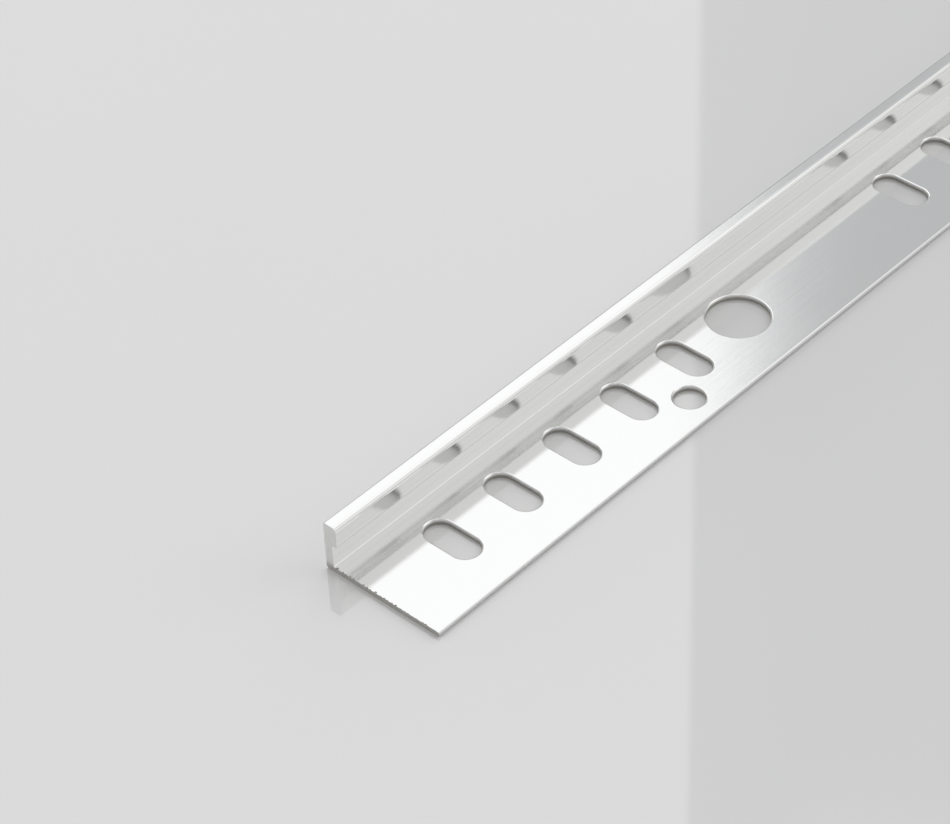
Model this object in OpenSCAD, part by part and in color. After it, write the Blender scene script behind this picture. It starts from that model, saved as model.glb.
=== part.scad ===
// Straight-edge tile trim: one length of extruded aluminium with a stepped wall that
// finishes the edge of the tiling, and a thin punched leg that is bedded under the tiles.
//
// X runs along the stock, Y across it towards the finished outer face, and Z up.
// The origin is the middle of the underside. Sizes are in millimetres.

/* [Stock] */
// Length of the stock
stock_length = 1000; // [250:1:3000]

/* [Section] */
// Height of the wall, the thickness of the tile that it finishes
wall_height = 10; // [8:0.5:15]
// Width over all, from the outer face to the free edge of the leg
section_width = 25; // [24:0.5:34]
// Thickness of the anchoring leg
leg_thickness = 1; // [0.7:0.1:1.5]
// Thickness of the head, the part of the wall that stays in view
head_thickness = 2.75; // [2.4:0.05:3.5]
// Height of the head
head_height = 4.2; // [3:0.1:5]
// Thickness of the neck between the leg and the head
neck_thickness = 1.65; // [1.3:0.05:2]

/* [Edges] */
// Radius of the head's inner top edge, beside the tile
head_inner_radius = 0.9; // [0.3:0.05:1.2]
// Radius of the head's outer top edge
head_outer_radius = 0.3; // [0.1:0.05:0.6]
// Radius of the edge under the head
lip_radius = 0.3; // [0.1:0.05:0.4]
// Radius in the corner between the head and the neck
undercut_radius = 0.2; // [0.1:0.05:0.4]
// Radius in the corner between the neck and the leg
root_radius = 0.2; // [0.1:0.05:0.8]
// Radius of the outer bottom edge
heel_radius = 0.6; // [0.2:0.1:1]
// Radius of both edges along the free side of the leg
toe_radius = 0.3; // [0.1:0.05:0.34]

/* [Perforation] */
// Width of a keying slot, along the stock
slot_width = 5.5; // [4:0.5:8]
// Length of a keying slot, across the leg
slot_length = 11.2; // [9:0.2:14]
// Distance from slot to slot in a group
slot_pitch = 15; // [14:0.2:18]
// Slots in a group
slots_in_group = 5; // [2:1:6]
// Diameter of the round keying hole that ends a group
keying_hole_d = 11.6; // [8:0.2:14]
// Distance from the outer face to the middle of the slots and keying holes
row_setback = 12; // [11:0.1:14]
// Diameter of the small fixing hole
fixing_hole_d = 5.7; // [4:0.1:7]
// Distance from the free edge of the leg to the middle of the fixing holes
fixing_setback = 5.7; // [4.5:0.1:7]
// Distance from one group to the next
group_pitch = 123; // [115:1:150]
// Distance from the end of the stock to the first slot
first_slot = 17.4; // [6:0.2:30]
// Least metal between the last hole and the end of the stock
end_margin = 8; // [5:1:20]
// Radius of the edge that the punch draws in at each mouth
punch_roll = 0.4; // [0.2:0.05:0.5]

/* [Hidden] */
$fn = 48;

head_base = wall_height - head_height;
outer_face = section_width / 2;
free_edge = -section_width / 2;
row_y = outer_face - row_setback;
fixing_y = free_edge + fixing_setback;

// A group is a row of slots with a keying hole one pitch after the last of them.
// The fixing hole stands in the middle of the web before the group's last slot.
last_slot_x = (slots_in_group - 1) * slot_pitch;
keying_x = last_slot_x + slot_pitch;
fixing_x = last_slot_x - slot_pitch / 2;
group_reach = keying_x + keying_hole_d / 2 + end_margin;
groups = max(0, floor((stock_length - first_slot - group_reach) / group_pitch) + 1);

// Punches run past both faces of the leg by this much
punch_over = 1;

// The material between a square corner at the origin, with its sides along +x and +y,
// and a round of radius r. Taken off it rounds an edge, and put on it fills a corner.
module corner_round(r) {
    difference() {
        square(r);
        translate([r, r]) circle(r);
    }
}

// A corner_round at a place, facing the quadrant that the two signs give
module round_at(place, facing, r) {
    translate(place)
        mirror([facing.x < 0 ? 1 : 0, 0])
            mirror([0, facing.y < 0 ? 1 : 0])
                corner_round(r);
}

// Section, x from the outer face towards the free edge of the leg, y up
module trim_section() {
    difference() {
        union() {
            square([section_width, leg_thickness]);
            square([neck_thickness, wall_height]);
            translate([0, head_base]) square([head_thickness, head_height]);
            round_at([neck_thickness, leg_thickness], [1, 1], root_radius);
            round_at([neck_thickness, head_base], [1, -1], undercut_radius);
        }
        round_at([0, 0], [1, 1], heel_radius);
        round_at([0, wall_height], [1, -1], head_outer_radius);
        round_at([head_thickness, wall_height], [-1, -1], head_inner_radius);
        round_at([head_thickness, head_base], [-1, 1], lip_radius);
        round_at([section_width, leg_thickness], [-1, -1], toe_radius);
        round_at([section_width, 0], [-1, 1], toe_radius);
    }
}

// The section run along the stock, with its outer face towards +Y
module extrusion() {
    rotate([90, 0, 90])
        linear_extrude(height = stock_length, center = true)
            translate([outer_face, 0]) mirror([1, 0]) trim_section();
}

// Half the section of a punch, x out from its middle. Its side flares over the drawn-in
// edge, and carries on upright above the face of the leg.
module punch_profile(reach) {
    translate([0, -punch_over]) square([reach, leg_thickness + 2 * punch_over]);
    round_at([reach, leg_thickness], [1, -1], punch_roll);
    translate([reach, leg_thickness]) square([punch_roll, punch_over]);
}

module round_punch(d) {
    rotate_extrude() punch_profile(d / 2);
}

// Round-ended slot punch, its length along Y
module slot_punch() {
    straight = slot_length - slot_width;
    for (turn = [0, 180])
        rotate([0, 0, turn]) translate([0, straight / 2, 0])
            rotate_extrude(angle = 180) punch_profile(slot_width / 2);
    rotate([90, 0, 0]) linear_extrude(height = straight, center = true)
        for (side = [0, 1]) mirror([side, 0]) punch_profile(slot_width / 2);
}

// One group of perforations, from its first slot
module punch_group() {
    for (i = [0 : slots_in_group - 1]) translate([i * slot_pitch, row_y, 0]) slot_punch();
    translate([keying_x, row_y, 0]) round_punch(keying_hole_d);
    translate([fixing_x, fixing_y, 0]) round_punch(fixing_hole_d);
}

module edge_trim() {
    color("gainsboro") difference() {
        extrusion();
        for (g = [0 : groups - 1])
            translate([first_slot - stock_length / 2 + g * group_pitch, 0, 0]) punch_group();
    }
}

edge_trim();
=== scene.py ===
"""Looks of a straight-edge tile trim: a stepped aluminium section with a punched leg.

Laid out as a Blender add-on and run as a script. Everything is in metres, in the part's own frame:
X along the stock, Y across it towards the finished outer face, Z up from the underside of the leg.
"""

import math

import bpy
from bpy.props import FloatProperty, FloatVectorProperty, IntProperty, PointerProperty
from bpy.types import Operator, Panel, PropertyGroup
from mathutils import Matrix, Vector


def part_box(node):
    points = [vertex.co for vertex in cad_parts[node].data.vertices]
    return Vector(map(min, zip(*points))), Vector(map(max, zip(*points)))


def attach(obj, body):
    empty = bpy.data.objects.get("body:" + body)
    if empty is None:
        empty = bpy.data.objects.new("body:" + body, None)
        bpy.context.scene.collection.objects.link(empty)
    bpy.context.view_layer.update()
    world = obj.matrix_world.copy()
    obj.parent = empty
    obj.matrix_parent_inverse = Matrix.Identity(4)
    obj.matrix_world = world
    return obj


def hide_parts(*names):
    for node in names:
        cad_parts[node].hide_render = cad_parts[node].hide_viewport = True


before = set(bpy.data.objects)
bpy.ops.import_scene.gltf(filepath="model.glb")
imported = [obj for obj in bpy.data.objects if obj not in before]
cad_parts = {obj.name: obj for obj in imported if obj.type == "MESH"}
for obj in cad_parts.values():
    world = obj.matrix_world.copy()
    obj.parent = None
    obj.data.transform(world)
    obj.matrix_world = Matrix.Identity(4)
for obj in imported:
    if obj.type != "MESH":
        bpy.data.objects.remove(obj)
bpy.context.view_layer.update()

bl_info = {
    "name": "Tile Edge Trim",
    "version": (1, 0, 0),
    "blender": (4, 5, 0),
    "location": "3D View > Sidebar > Tile Trim",
    "description": "Makes a punched aluminium tile trim and the pale floor that it lies on",
    "category": "Add Mesh",
}

NODE = "edge_trim"
LOW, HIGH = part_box(NODE)

MM = 0.001
MICRON = 1e-6

# A face counts as level, upright or square to the stock where its normal is this near to it
SQUARE = 0.9999

# Facets of the rounds along the section, around a punch, and over its drawn-in edge
EDGE_STEPS = 8
PUNCH_SIDES = 72
ROLL_STEPS = 7

# The drawn-in edge ends at this angle from the punch's wall, so that it meets the face cleanly
ROLL_END = math.radians(72)

# How far a punch runs past the lower and the upper face of the leg
PUNCH_UNDER = 0.5 * MM
PUNCH_ABOVE = 0.1 * MM

# Nicks that the saw tears out of the leg's upper edge at each end, with the largest half sizes
NICKS = 24
NICK_DEPTH = 0.75 * MM
NICK_REACH = 0.36 * MM
NICK_HEIGHT = 0.5 * MM
NICK_SEED = 4

# How much smaller the last nick is than the first, as a share
NICK_FADE = 0.8

# The photograph's frame in pixels, and the fitted focal length in the same pixels
FRAME_WIDTH = 950
FOCAL_PIXELS = 3184.5
SENSOR_WIDTH = 36.0

# The fitted camera: its place from the outer bottom edge of the near end, and its three angles
CAMERA_FROM_CORNER = Vector((-253.6, -278.7, 361.4)) * MM
CAMERA_AZIMUTH = math.radians(46.152)
CAMERA_ELEVATION = math.radians(41.204)
CAMERA_ROLL = math.radians(2.52)

# Where the bright panel behind the trim ends, as a bearing in degrees from +Y towards +X
PANEL_EDGE = 51.4

# Drawn metal is never quite true: the level faces of the leg and of the head lean this far, as slopes
LEG_LEAN = 0.017
HEAD_LEAN = 0.010

# Heights of the fine relief, in thousandths of a millimetre
HAIRLINES = 1.7
DIE_LINES = 1.6
SLOW_WAVES = 4.0
SAW_MARKS = 20.0
SHEAR_MARKS = 3.0
TEARS = 8.0

# Roughness of sawn metal, of the sheared band in a hole and of the torn band under it
SAWN_ROUGHNESS = 0.48
SHEARED_ROUGHNESS = 0.26
TORN_ROUGHNESS = 0.56


def length(name, description, default):
    """A property that holds a length of the part."""
    return FloatProperty(
        name=name,
        description=description,
        default=default,
        min=0.0,
        unit="LENGTH",
        precision=5,
    )


def colour(name, description, default):
    """A property that holds a colour, in linear values."""
    return FloatVectorProperty(
        name=name,
        description=description,
        default=default,
        size=3,
        min=0.0,
        max=1.0,
        subtype="COLOR",
    )


class TrimSizes(PropertyGroup):
    """Sizes of the section and of its perforations."""

    stock_length: length("Length", "Length of the stock", HIGH.x - LOW.x)
    wall_height: length("Wall height", "Height of the wall over all", HIGH.z - LOW.z)
    section_width: length("Width", "Width from the outer face to the free edge", HIGH.y - LOW.y)
    leg_thickness: length("Leg thickness", "Thickness of the anchoring leg", 1.0 * MM)
    head_thickness: length("Head thickness", "Thickness of the head", 2.75 * MM)
    head_height: length("Head height", "Height of the head", 4.2 * MM)
    neck_thickness: length("Neck thickness", "Thickness of the neck", 1.65 * MM)
    head_inner_radius: length("Head inner radius", "Radius of the inner top edge", 0.9 * MM)
    head_outer_radius: length("Head outer radius", "Radius of the outer top edge", 0.3 * MM)
    lip_radius: length("Lip radius", "Radius of the edge under the head", 0.3 * MM)
    undercut_radius: length("Undercut radius", "Radius between head and neck", 0.2 * MM)
    root_radius: length("Root radius", "Radius between neck and leg", 0.2 * MM)
    heel_radius: length("Heel radius", "Radius of the outer bottom edge", 0.6 * MM)
    toe_radius: length("Toe radius", "Radius of the edges of the free side", 0.3 * MM)
    slot_width: length("Slot width", "Width of a keying slot", 5.5 * MM)
    slot_length: length("Slot length", "Length of a keying slot", 11.2 * MM)
    slot_pitch: length("Slot pitch", "Distance from slot to slot", 15.0 * MM)
    keying_hole_d: length("Keying hole", "Diameter of a keying hole", 11.6 * MM)
    row_setback: length("Row setback", "Outer face to the row's middle", 12.0 * MM)
    fixing_hole_d: length("Fixing hole", "Diameter of a fixing hole", 5.7 * MM)
    fixing_setback: length("Fixing setback", "Free edge to the fixing holes", 5.7 * MM)
    group_pitch: length("Group pitch", "Distance from group to group", 123.0 * MM)
    first_slot: length("First slot", "End of the stock to the first slot", 17.4 * MM)
    punch_roll: length("Punch roll", "Depth of the edge that the punch draws in", 0.35 * MM)
    roll_reach: length("Roll reach", "Width of the edge that the punch draws in", 0.45 * MM)
    slots_in_group: IntProperty(name="Slots", description="Slots in a group", default=5, min=1)
    groups: IntProperty(name="Groups", description="Groups along the stock", default=8, min=0)


class TrimFinish(PropertyGroup):
    """Colours and textures of the metal."""

    metal: colour("Metal", "Polished aluminium", (0.90, 0.905, 0.905))
    sawn_metal: colour("Sawn metal", "Aluminium of the sawn ends", (0.88, 0.88, 0.87))
    # Dark metal of torn walls, nicks and saw marks; it is also the painted shade on the punched walls, at
    # the foot of the sawn ends and along the lip
    torn_metal_and_shade: colour("Torn metal", "Aluminium of the punched walls", (0.50, 0.488, 0.455))
    # Painted shade: the faces under the head are painted a little darker than the polished metal
    underside_shade_metal: colour("Underside shade metal", "Unpolished aluminium under the head", (0.88, 0.88, 0.87))
    gloss: FloatProperty(
        name="Roughness", description="Roughness of the polished faces", default=0.08, min=0.0, max=1.0
    )


class StageLook(PropertyGroup):
    """Floor and light."""

    floor: colour("Floor", "Pale floor", (0.68, 0.68, 0.68))
    floor_size: length("Floor size", "Half the side of the floor", 14.0)


def grey(level):
    """A neutral colour of this level, which may be over 1 for light."""
    return (level, level, level, 1.0)


class Sock:
    """A node's output socket that can stand in a Python expression."""

    def __init__(self, tree, socket):
        self.tree = tree
        self.socket = socket

    def other(self, name):
        """Another output of the same node."""
        return Sock(self.tree, self.socket.node.outputs[name])

    def math(self, operation, *values):
        return self.tree.add("ShaderNodeMath", {"operation": operation}, dict(enumerate(values)))

    def __add__(self, value):
        return self.math("ADD", self, value)

    def __radd__(self, value):
        return self.math("ADD", value, self)

    def __sub__(self, value):
        return self.math("SUBTRACT", self, value)

    def __rsub__(self, value):
        return self.math("SUBTRACT", value, self)

    def __mul__(self, value):
        return self.math("MULTIPLY", self, value)

    def __rmul__(self, value):
        return self.math("MULTIPLY", value, self)

    def __truediv__(self, value):
        return self.math("DIVIDE", self, value)

    def __rtruediv__(self, value):
        return self.math("DIVIDE", value, self)

    def __abs__(self):
        return self.math("ABSOLUTE", self)

    def __gt__(self, value):
        return self.math("GREATER_THAN", self, value)

    def __lt__(self, value):
        return self.math("LESS_THAN", self, value)

    def sin(self):
        return self.math("SINE", self)

    def cos(self):
        return self.math("COSINE", self)

    def sign(self):
        return self.math("SIGN", self)

    def most(self, value):
        """The larger of the two."""
        return self.math("MAXIMUM", self, value)

    def least(self, value):
        """The smaller of the two."""
        return self.math("MINIMUM", self, value)

    def held(self, low=0.0, high=1.0):
        """The value, kept between two others."""
        return self.most(low).least(high)

    def step(self, start, end):
        """Rises smoothly from 0 at start to 1 at end, or falls where end is the smaller."""
        settings = {"interpolation_type": "SMOOTHSTEP"}
        if start < end:
            sockets = {"Value": self, "From Min": start, "From Max": end}
        else:
            sockets = {"Value": self, "From Min": end, "From Max": start, "To Min": 1.0, "To Max": 0.0}
        return self.tree.add("ShaderNodeMapRange", settings, sockets)


class Tree:
    """A node tree that is written node by node."""

    def __init__(self, nodes_owner):
        self.tree = nodes_owner
        self.tree.nodes.clear()

    def add(self, kind, settings=None, sockets=None, out=0):
        """Adds a node, sets its settings and then its sockets, and gives one of its outputs."""
        node = self.tree.nodes.new(kind)
        for name, value in (settings or {}).items():
            setattr(node, name, value)
        for name, value in (sockets or {}).items():
            socket = self.input(node, name)
            for one in value if isinstance(value, list) else [value]:
                if isinstance(one, Sock):
                    self.tree.links.new(one.socket, socket)
                else:
                    socket.default_value = one
        if out is None or not len(node.outputs):
            return node
        return Sock(self, node.outputs[out])

    def input(self, node, name):
        """The enabled input with this name or number."""
        if isinstance(name, int):
            return node.inputs[name]
        for socket in node.inputs:
            if socket.name == name and socket.enabled:
                return socket
        raise KeyError(f"{node.bl_idname} has no input {name}")

    def vector(self, x, y, z):
        return self.add("ShaderNodeCombineXYZ", None, {"X": x, "Y": y, "Z": z})

    def parts(self, vector):
        """The three parts of a vector."""
        split = self.add("ShaderNodeSeparateXYZ", None, {"Vector": vector})
        return split, split.other("Y"), split.other("Z")

    def mix(self, factor, first, second):
        """A colour between two others."""
        sockets = {"Factor": factor, "A": first, "B": second}
        node = self.add("ShaderNodeMix", {"data_type": "RGBA"}, sockets, None)
        return Sock(self, next(socket for socket in node.outputs if socket.enabled))


class GeometryTree(Tree):
    """A geometry node tree with named inputs, which gives one geometry."""

    def __init__(self, name):
        super().__init__(bpy.data.node_groups.new(name, "GeometryNodeTree"))
        self.inputs = self.tree.nodes.new("NodeGroupInput")

    def named_input(self, name, kind="NodeSocketFloat"):
        self.tree.interface.new_socket(name=name, in_out="INPUT", socket_type=kind)
        return Sock(self, self.inputs.outputs[name])

    def give(self, geometry):
        self.tree.interface.new_socket(name="Geometry", in_out="OUTPUT", socket_type="NodeSocketGeometry")
        self.add("NodeGroupOutput", None, {"Geometry": geometry})


def punch_tree():
    """A punch: a round or round-ended tool whose upper end widens to the drawn-in edge."""
    t = GeometryTree("punch")
    radius = t.named_input("Radius")
    straight = t.named_input("Half straight")
    leg = t.named_input("Leg thickness")
    roll = t.named_input("Roll")
    reach = t.named_input("Roll reach")
    rings = ROLL_STEPS + 2
    half_facet = math.pi / PUNCH_SIDES
    tool = t.add(
        "GeometryNodeMeshCylinder",
        {"fill_type": "NGON"},
        {"Vertices": PUNCH_SIDES, "Side Segments": rings, "Radius": 1.0, "Depth": 1.0},
    )
    tool = t.add("GeometryNodeTransform", None, {"Geometry": tool, "Rotation": (0, 0, half_facet)})
    x, y, z = t.parts(t.add("GeometryNodeInputPosition"))

    # Rings from the bottom: under the leg, where the roll starts, its steps, and above the leg
    ring = (z + 0.5) * rings
    under = (1 - ring).held()
    above = (ring - (rings - 1)).held()
    angle = ((ring - 1) / ROLL_STEPS).held() * ROLL_END
    rise = PUNCH_ABOVE + roll * (1 - math.sin(ROLL_END))
    out = reach * (1 - angle.cos()) + above * rise * math.tan(ROLL_END) * reach / roll
    up = leg - roll + roll * angle.sin() + above * rise - under * (leg - roll + PUNCH_UNDER)
    wide = radius + out
    place = t.vector(x * wide, y * wide + y.sign() * straight, up)
    t.give(t.add("GeometryNodeSetPosition", None, {"Geometry": tool, "Position": place}))
    return t.tree


def trim_tree(punch):
    """The section's outline, rounded and run along the stock, with the groups of perforations."""
    t = GeometryTree("punched trim")
    outline = t.named_input("Outline", "NodeSocketGeometry")
    stock = t.named_input("Length")
    leg = t.named_input("Leg thickness")
    roll = t.named_input("Punch roll")
    reach = t.named_input("Roll reach")
    slot_width = t.named_input("Slot width")
    slot_length = t.named_input("Slot length")
    slot_pitch = t.named_input("Slot pitch")
    slots = t.named_input("Slots", "NodeSocketInt")
    row_y = t.named_input("Row place")
    keying_d = t.named_input("Keying hole")
    fixing_d = t.named_input("Fixing hole")
    fixing_y = t.named_input("Fixing place")
    first_slot = t.named_input("First slot")
    group_pitch = t.named_input("Group pitch")
    groups = t.named_input("Groups", "NodeSocketInt")
    root_y = t.named_input("Root place")
    free_y = t.named_input("Free edge")
    metal = t.named_input("Metal", "NodeSocketMaterial")

    # A path along X turns a section's axes to -Y and -Z, so the outline is turned half round first
    section = t.add("GeometryNodeMeshToCurve", None, {"Mesh": outline})
    radius = t.add("GeometryNodeInputNamedAttribute", {"data_type": "FLOAT"}, {"Name": "edge_radius"})
    section = t.add(
        "GeometryNodeFilletCurve",
        {"mode": "POLY"},
        {"Curve": section, "Count": EDGE_STEPS, "Radius": radius},
    )
    section = t.add("GeometryNodeTransform", None, {"Geometry": section, "Rotation": (0, 0, math.pi)})
    path = t.add(
        "GeometryNodeCurvePrimitiveLine",
        None,
        {"Start": t.vector(stock * -0.5, 0.0, 0.0), "End": t.vector(stock * 0.5, 0.0, 0.0)},
    )
    body = t.add(
        "GeometryNodeCurveToMesh", None, {"Curve": path, "Profile Curve": section, "Fill Caps": True}
    )

    def marked(geometry, name, value):
        return t.add(
            "GeometryNodeStoreNamedAttribute",
            {"data_type": "FLOAT", "domain": "FACE"},
            {"Geometry": geometry, "Name": name, "Value": value},
        )

    def tool(radius, straight):
        made = t.add(
            "GeometryNodeGroup",
            {"node_tree": punch},
            {
                "Radius": radius,
                "Half straight": straight,
                "Leg thickness": leg,
                "Roll": roll,
                "Roll reach": reach,
            },
        )
        return marked(marked(made, "punched", 1.0), "nicked", 0.0)

    def line(count, start, step):
        return t.add(
            "GeometryNodeMeshLine",
            {"mode": "OFFSET"},
            {"Count": count, "Start Location": start, "Offset": step},
        )

    def moved(geometry, place):
        return t.add("GeometryNodeTransform", None, {"Geometry": geometry, "Translation": place})

    # One group: a row of slots, the keying hole after them and the fixing hole in the last web
    slot = tool(slot_width * 0.5, (slot_length - slot_width) * 0.5)
    row = t.add(
        "GeometryNodeInstanceOnPoints",
        None,
        {
            "Points": line(slots, t.vector(0.0, row_y, 0.0), t.vector(slot_pitch, 0.0, 0.0)),
            "Instance": slot,
        },
    )
    keying_x = slots * slot_pitch
    keying = moved(tool(keying_d * 0.5, 0.0), t.vector(keying_x, row_y, 0.0))
    fixing = moved(tool(fixing_d * 0.5, 0.0), t.vector(keying_x - slot_pitch * 1.5, fixing_y, 0.0))
    group = t.add("GeometryNodeJoinGeometry", None, {"Geometry": [row, keying, fixing]})
    group = t.add("GeometryNodeGeometryToInstance", None, {"Geometry": group})
    starts = line(groups, t.vector(first_slot - stock * 0.5, 0.0, 0.0), t.vector(group_pitch, 0.0, 0.0))
    punches = t.add("GeometryNodeInstanceOnPoints", None, {"Points": starts, "Instance": group})

    # Nicks shrink from the root to the free edge, and stray and turn at random
    def scattered(low, high, seed):
        return t.add(
            "FunctionNodeRandomValue",
            {"data_type": "FLOAT_VECTOR"},
            {"Min": low, "Max": high, "Seed": NICK_SEED + seed},
        )

    chip = t.add("GeometryNodeMeshIcoSphere", None, {"Subdivisions": 1})
    chip = marked(marked(chip, "punched", 0.0), "nicked", 1.0)
    cutters = [punches]
    for end, side in enumerate((-0.5, 0.5)):
        spacing = (free_y - root_y) / (NICKS + 1)
        row = line(NICKS, t.vector(stock * side, root_y + spacing, leg), t.vector(0.0, spacing, 0.0))
        shift = scattered((-0.03 * MM, -0.25 * MM, -0.05 * MM), (0.03 * MM, 0.25 * MM, 0.08 * MM), end)
        row = t.add("GeometryNodeSetPosition", None, {"Geometry": row, "Offset": shift})
        wide, across, tall = t.parts(scattered((0.35, 0.4, 0.2), (1.0, 1.0, 1.0), 2 + end))
        less = 1 - t.add("GeometryNodeInputIndex") * (NICK_FADE / NICKS)
        size = t.vector(wide * wide * less * NICK_DEPTH, across * NICK_REACH, tall * less * NICK_HEIGHT)
        turn = scattered((0.0, 0.0, 0.0), (0.0, math.pi, 0.0), 4 + end)
        cutters.append(
            t.add(
                "GeometryNodeInstanceOnPoints",
                None,
                {"Points": row, "Instance": chip, "Rotation": turn, "Scale": size},
            )
        )
    punches = t.add("GeometryNodeJoinGeometry", None, {"Geometry": cutters})
    punches = t.add("GeometryNodeRealizeInstances", None, {"Geometry": punches})
    body = marked(marked(body, "punched", 0.0), "nicked", 0.0)
    body = t.add(
        "GeometryNodeMeshBoolean",
        {"operation": "DIFFERENCE", "solver": "EXACT"},
        {"Mesh 1": body, "Mesh 2": punches, "Self Intersection": True},
    )

    # Level faces and the long upright ones are flat, and the rounds and punched walls are smooth
    nx, ny, nz = t.parts(t.add("GeometryNodeInputNormal"))
    area = t.add("GeometryNodeInputMeshFaceArea")
    level = abs(nz) > SQUARE
    upright = (abs(nx).most(abs(ny)) > SQUARE) * (area > 2.0 * MM * MM)
    body = t.add(
        "GeometryNodeSetShadeSmooth", None, {"Geometry": body, "Shade Smooth": 1 - level.most(upright)}
    )
    px, _, pz = t.parts(t.add("GeometryNodeInputPosition"))
    sawn = (abs(nx) > SQUARE) * (abs(px) > stock * 0.4999)
    # Faces under the head: rougher, with calmer die lines, and painted a little darker as shade
    sheltered = (nz < -0.2) * (pz > leg * 2)
    standing = (abs(ny) > SQUARE) * (pz > leg)
    lean = (nz > SQUARE) * ((pz < leg * 2) * LEG_LEAN + (pz > leg * 2) * HEAD_LEAN)
    for name, value in {"sawn": sawn, "sheltered": sheltered, "standing": standing, "lean": lean}.items():
        body = marked(body, name, value)
    body = t.add("GeometryNodeRealizeInstances", None, {"Geometry": body})
    t.give(t.add("GeometryNodeSetMaterial", None, {"Geometry": body, "Material": metal}))
    return t.tree


def section_corners(s):
    """The corners of the section in the YZ plane, each with the radius that rounds it."""
    outer, free = s.section_width / 2, -s.section_width / 2
    neck, head = outer - s.neck_thickness, outer - s.head_thickness
    head_base = s.wall_height - s.head_height
    return [
        (free, 0.0, s.toe_radius),
        (outer, 0.0, s.heel_radius),
        (outer, s.wall_height, s.head_outer_radius),
        (head, s.wall_height, s.head_inner_radius),
        (head, head_base, s.lip_radius),
        (neck, head_base, s.undercut_radius),
        (neck, s.leg_thickness, s.root_radius),
        (free, s.leg_thickness, s.toe_radius),
    ]


def outline_object(s):
    """The section's corners as a closed outline in the XY plane, for the tree to round and run."""
    corners = section_corners(s)
    count = len(corners)
    mesh = bpy.data.meshes.new("section outline")
    mesh.from_pydata([(y, z, 0.0) for y, z, _ in corners], [(i, (i + 1) % count) for i in range(count)], [])
    radii = mesh.attributes.new("edge_radius", "FLOAT", "POINT")
    radii.data.foreach_set("value", [radius for _, _, radius in corners])
    outline = bpy.data.objects.new("section outline", mesh)
    bpy.context.scene.collection.objects.link(outline)
    return outline


def grown(source, tree, values, name):
    """The plain mesh that a tree makes of an object, which is then removed."""
    modifier = source.modifiers.new("grow", "NODES")
    modifier.node_group = tree
    for item in tree.interface.items_tree:
        if item.item_type == "SOCKET" and item.in_out == "INPUT" and item.name in values:
            modifier[item.identifier] = values[item.name]
    depsgraph = bpy.context.evaluated_depsgraph_get()
    mesh = bpy.data.meshes.new_from_object(
        source.evaluated_get(depsgraph), preserve_all_data_layers=True, depsgraph=depsgraph
    )
    source.modifiers.remove(modifier)
    bpy.data.objects.remove(source)
    mesh.name = name
    piece = bpy.data.objects.new(name, mesh)
    bpy.context.scene.collection.objects.link(piece)
    return piece


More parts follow.
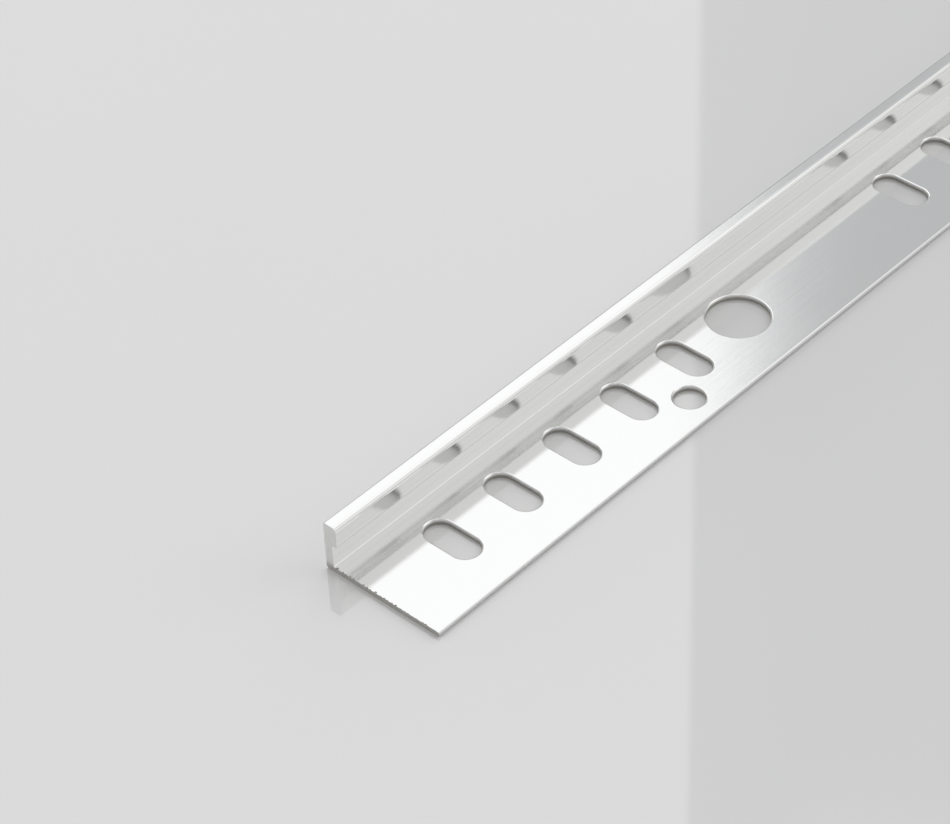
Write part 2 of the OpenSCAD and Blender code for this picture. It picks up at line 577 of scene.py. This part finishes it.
def aluminium_material(finish, sizes):
    """Polished aluminium with lengthwise die lines, duller where it is sawn or punched, and painted darker
    as shade in places.
    """
    material = bpy.data.materials.new("polished aluminium")
    material.use_nodes = True
    t = Tree(material.node_tree)
    place = t.add("ShaderNodeTexCoord", None, None, "Object")
    x, y, z = t.parts(place)
    marks_on_faces = ("sawn", "punched", "sheltered", "standing", "nicked", "lean")
    sawn, punched, sheltered, standing, nicked, lean = (
        t.add("ShaderNodeAttribute", {"attribute_name": name}, None, "Fac") for name in marks_on_faces
    )

    # The edge that the punch draws in keeps its polish, and only the wall under it is torn
    roll_foot = sizes.leg_thickness - sizes.punch_roll
    punched = punched * z.step(roll_foot + 0.2 * MM, roll_foot)
    cut = sawn.most(punched).most(nicked)

    # Painted shade: the sawn ends are painted darker towards their foot on the floor
    foot = z.step(1.9 * MM, 0.6 * MM) * 0.75

    # Painted shade: a dark line is painted along the lip under the head, where its shade falls
    lip_z = sizes.wall_height - sizes.head_height
    lip = z.step(lip_z + 0.36 * MM, lip_z + 0.26 * MM) * z.step(lip_z + 0.02 * MM, lip_z + 0.1 * MM)
    lip = lip * y.step(sizes.section_width / 2 - 0.2 * MM, sizes.section_width / 2 - 0.4 * MM) * (1 - cut)

    def noise(vector, scale, detail=2.0):
        return t.add("ShaderNodeTexNoise", None, {"Vector": vector, "Scale": scale, "Detail": detail})

    # Lines drawn by the die keep their place across the section and change slowly along it.
    # They are calmer under the head and beside the root.
    along = t.vector(x * 0.0006, y, z)
    fine = noise(along, 20000.0) - 0.5
    lines = noise(along, 1600.0) - 0.5
    waves = noise(t.vector(x * 0.05, y, z), 260.0, 1.0) - 0.5
    calm = (y.step(3.0 * MM, 7.0 * MM) * z.step(2.2 * MM, 1.8 * MM)).most(sheltered)
    drawn = fine * HAIRLINES + lines * (1 - calm * 0.75) * DIE_LINES + waves * (1 - calm * 0.8) * SLOW_WAVES
    drawn = drawn - lean * y * (1 / MICRON)

    # Saw marks run up and down the ends, and the punch leaves a bright band over a torn one
    marks = noise(t.vector(x, y, z * 0.15), 3600.0) - 0.5
    torn = (z + (noise(place, 1800.0) - 0.5) * (0.4 * MM)).step(0.62 * MM, 0.48 * MM) * punched
    shear = noise(t.vector(x, y, z * 0.12), 4200.0) - 0.5
    tear = noise(place, 6000.0, 4.0) - 0.5
    cutting = marks * sawn * SAW_MARKS + (shear * SHEAR_MARKS + tear * torn * TEARS) * punched
    height = drawn * (1 - cut) + cutting

    smudge = noise(place, 55.0, 3.0) - 0.5
    gloss = finish.gloss + standing * 0.06 + smudge * 0.05 + lines * 0.06
    torn_more = TORN_ROUGHNESS - SHEARED_ROUGHNESS
    rough = gloss * (1 - cut) + sawn.most(nicked) * SAWN_ROUGHNESS
    rough = rough + punched * (SHEARED_ROUGHNESS + torn * torn_more) + sheltered * 0.15
    # Painted shade: faces under the head take the darker underside colour; they are rougher too
    tint = t.mix(sheltered, (*finish.metal, 1), (*finish.underside_shade_metal, 1))
    tint = t.mix(sawn, tint, (*finish.sawn_metal, 1))
    streak = (noise(along, 2600.0) - 0.42).held() * standing * 0.35
    # Darker colour for torn punched walls, nicks, saw marks and die streaks, with painted shade: the
    # punched walls are also painted darker as shade in the holes, and so are the foot of the sawn ends and
    # the lip
    wear_and_shade = (punched * (0.6 + torn * 0.4)).most(nicked).most(sawn * (foot + marks.held() * 0.9))
    wear_and_shade = wear_and_shade.most(streak).most(lip * 0.8)
    tint = t.mix(wear_and_shade, tint, (*finish.torn_metal_and_shade, 1))
    bump = t.add("ShaderNodeBump", None, {"Strength": 1.0, "Distance": MICRON, "Height": height})
    shader = t.add(
        "ShaderNodeBsdfPrincipled",
        None,
        {"Base Color": tint, "Metallic": 1.0, "Roughness": rough, "Normal": bump},
    )
    t.add("ShaderNodeOutputMaterial", None, {"Surface": shader})
    return material


def floor_material(look):
    """A pale smooth floor with a weak, clear reflection."""
    material = bpy.data.materials.new("pale floor")
    material.use_nodes = True
    t = Tree(material.node_tree)
    place = t.add("ShaderNodeTexCoord", None, None, "Object")
    cloud = t.add("ShaderNodeTexNoise", None, {"Vector": place, "Scale": 9.0, "Detail": 2.0})
    shader = t.add(
        "ShaderNodeBsdfPrincipled",
        None,
        {
            "Base Color": t.mix(cloud * 0.06, (*look.floor, 1), grey(0.5)),
            "Roughness": 0.0,
            "IOR": 2.25,
        },
    )
    t.add("ShaderNodeOutputMaterial", None, {"Surface": shader})
    return material


def mirrored_light(t, degrees, z, floor_mirror):
    """What the polished metal and the floor mirror, by bearing and by the sine of the height."""

    def between(start, full, last, end):
        """A field that rises from start to full and falls from last to end, in degrees."""
        return degrees.step(start, full) * degrees.step(end, last)

    # The panel ends upright a little right of the view's middle, in a weak glow
    panel = between(-25.0, -5.0, PANEL_EDGE - 0.15, PANEL_EDGE + 0.15)
    panel = panel * z.step(0.05, 0.15) * z.step(0.97, 0.92)
    glow = between(-25.0, -5.0, PANEL_EDGE, PANEL_EDGE + 3.0)
    left = between(-85.0, -60.0, -10.0, 10.0)
    dim = degrees.step(-60.0, -85.0).most(degrees.step(168.0, 178.0))
    front = between(85.0, 115.0, 168.0, 178.0)
    top = z.step(0.75, 0.79)

    # A light overhead whitens the rounds of the edges. Its gap to the panel is filled for metal only
    high = z.step(0.73, 0.79).most(z.step(0.66, 0.70) * degrees.step(85.0, 108.0))
    high = high * between(52.0, 56.0, 122.0, 138.0) * z.step(0.97, 0.92)
    gap = z.step(0.66, 0.70) * between(51.0, 53.0, 62.0, 72.0) * (1 - floor_mirror)

    # A strip low at the front lights the root beside the near end
    strip = between(140.0, 146.0, 155.0, 165.0) * z.step(0.2, 0.4) * z.step(0.66, 0.62)
    low = z.step(0.55, 0.48) * between(26.0, 34.0, 80.0, 100.0)
    facing = t.mix(z.step(0.56, 0.67), (0.83, 0.825, 0.81, 1), (0.735, 0.73, 0.71, 1))
    facing = t.mix(z.step(0.12, 0.45), (0.69, 0.685, 0.67, 1), facing)

    shade = t.mix(left, (0.52, 0.525, 0.53, 1), grey(0.55))
    shade = t.mix(glow, shade, (0.59, 0.595, 0.60, 1))
    shade = t.mix(dim, shade, (0.45, 0.445, 0.44, 1))
    shade = t.mix(front, shade, facing)
    shade = t.mix(top, shade, grey(0.55))
    shade = t.mix(strip, shade, (0.94, 0.94, 0.92, 1))
    shade = t.mix(high.most(gap), shade, (1.06, 1.06, 1.05, 1))
    shade = t.mix(panel, shade, grey(1.08))
    return t.mix(low, shade, grey(0.34))


def soft_light(t, degrees, z):
    """Light on what isn't glossy: mostly from behind on the right, and least from the front."""
    away = degrees.step(-60.0, -85.0).most(degrees.step(115.0, 150.0))
    key = degrees.step(30.0, 60.0) * degrees.step(150.0, 125.0) * z.step(0.08, 0.2) * z.step(0.75, 0.6)
    soft = t.mix(z.step(0.15, 0.85), grey(1.5), grey(0.99))
    soft = t.mix(away, soft, grey(0.4))
    return t.mix(key, soft, grey(2.36))


def studio_world():
    """Soft light from all round, with a bright panel behind the trim on the left."""
    world = bpy.data.worlds.new("soft studio")
    bpy.context.scene.world = world
    world.use_nodes = True
    t = Tree(world.node_tree)
    x, y, z = t.parts(t.add("ShaderNodeTexCoord", None, None, "Generated"))

    # Bearings are from +Y towards +X
    degrees = t.add("ShaderNodeMath", {"operation": "ARCTAN2"}, {0: x, 1: y}) * (180 / math.pi)

    # The floor's mirror is perfectly smooth and the metal's isn't, which tells their rays apart
    seen = t.add("ShaderNodeLightPath", None, None, "Is Camera Ray")
    glossy, floor_mirror = seen.other("Is Glossy Ray"), seen.other("Is Singular Ray")
    shade = t.mix(glossy, soft_light(t, degrees, z), mirrored_light(t, degrees, z, floor_mirror))
    shade = t.mix(seen, shade, grey(0.72))
    light = t.add("ShaderNodeBackground", None, {"Color": shade, "Strength": 1.0})
    t.add("ShaderNodeOutputWorld", None, {"Surface": light})


def photograph_camera():
    """The camera where the photograph's edges put it."""
    right = Vector((math.cos(CAMERA_AZIMUTH), -math.sin(CAMERA_AZIMUTH), 0.0))
    back = Vector((math.sin(CAMERA_AZIMUTH), math.cos(CAMERA_AZIMUTH), 0.0))
    forward = back * math.cos(CAMERA_ELEVATION) - Vector((0, 0, math.sin(CAMERA_ELEVATION)))
    down = forward.cross(right)
    cos, sin = math.cos(CAMERA_ROLL), math.sin(CAMERA_ROLL)
    across, below = right * cos + down * sin, down * cos - right * sin
    data = bpy.data.cameras.new("camera")
    data.sensor_fit = "HORIZONTAL"
    data.sensor_width = SENSOR_WIDTH
    data.lens = FOCAL_PIXELS / FRAME_WIDTH * SENSOR_WIDTH
    data.clip_start = 0.01
    camera = bpy.data.objects.new("camera", data)
    bpy.context.scene.collection.objects.link(camera)
    turn = Matrix((across, -below, -forward)).transposed().to_4x4()
    camera.matrix_world = Matrix.Translation(Vector((LOW.x, HIGH.y, LOW.z)) + CAMERA_FROM_CORNER) @ turn
    bpy.context.scene.camera = camera


class EDGETRIM_OT_profile(Operator):
    """Make the punched trim in place of its plain solid"""

    bl_idname = "edge_trim.profile"
    bl_label = "Punched Trim"

    def execute(self, context):
        s = context.scene.edge_trim_sizes
        finish = context.scene.edge_trim_finish
        values = {
            "Length": s.stock_length,
            "Leg thickness": s.leg_thickness,
            "Punch roll": s.punch_roll,
            "Roll reach": s.roll_reach,
            "Slot width": s.slot_width,
            "Slot length": s.slot_length,
            "Slot pitch": s.slot_pitch,
            "Slots": s.slots_in_group,
            "Row place": s.section_width / 2 - s.row_setback,
            "Keying hole": s.keying_hole_d,
            "Fixing hole": s.fixing_hole_d,
            "Fixing place": s.fixing_setback - s.section_width / 2,
            "First slot": s.first_slot,
            "Group pitch": s.group_pitch,
            "Groups": s.groups,
            "Root place": s.section_width / 2 - s.neck_thickness,
            "Free edge": -s.section_width / 2,
            "Metal": aluminium_material(finish, s),
        }
        piece = grown(outline_object(s), trim_tree(punch_tree()), values, "punched_trim")
        if not piece.data.polygons:
            raise RuntimeError("the trim came out empty")
        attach(piece, "root")
        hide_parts(NODE)
        return {"FINISHED"}


class EDGETRIM_OT_stage(Operator):
    """Make the pale floor, the soft light and the camera"""

    bl_idname = "edge_trim.stage"
    bl_label = "Floor, Light and Camera"

    def execute(self, context):
        look = context.scene.edge_trim_stage
        half = look.floor_size
        mesh = bpy.data.meshes.new("floor")
        mesh.from_pydata(
            [(-half, -half, 0), (half, -half, 0), (half, half, 0), (-half, half, 0)], [], [(0, 1, 2, 3)]
        )
        mesh.materials.append(floor_material(look))
        floor = bpy.data.objects.new("floor", mesh)
        context.scene.collection.objects.link(floor)
        studio_world()
        photograph_camera()
        context.scene.view_settings.view_transform = "Standard"
        return {"FINISHED"}


class EDGETRIM_PT_panel(Panel):
    """Sizes, finish and makers of the trim"""

    bl_idname = "EDGETRIM_PT_panel"
    bl_label = "Tile Edge Trim"
    bl_space_type = "VIEW_3D"
    bl_region_type = "UI"
    bl_category = "Tile Trim"

    def draw(self, context):
        layout = self.layout
        for group in SETTINGS:
            column = layout.column(align=True)
            settings = getattr(context.scene, group)
            for name in settings.bl_rna.properties.keys():
                if name not in ("rna_type", "name"):
                    column.prop(settings, name)
        for maker in (EDGETRIM_OT_profile, EDGETRIM_OT_stage):
            layout.operator(maker.bl_idname)


SETTINGS = {
    "edge_trim_sizes": TrimSizes,
    "edge_trim_finish": TrimFinish,
    "edge_trim_stage": StageLook,
}
CLASSES = (*SETTINGS.values(), EDGETRIM_OT_profile, EDGETRIM_OT_stage, EDGETRIM_PT_panel)


def register():
    for made in CLASSES:
        bpy.utils.register_class(made)
    for name, group in SETTINGS.items():
        setattr(bpy.types.Scene, name, PointerProperty(type=group))


def unregister():
    for name in SETTINGS:
        delattr(bpy.types.Scene, name)
    for made in reversed(CLASSES):
        bpy.utils.unregister_class(made)


def main():
    register()
    bpy.ops.edge_trim.profile()
    bpy.ops.edge_trim.stage()


if __name__ == "__main__":
    main()
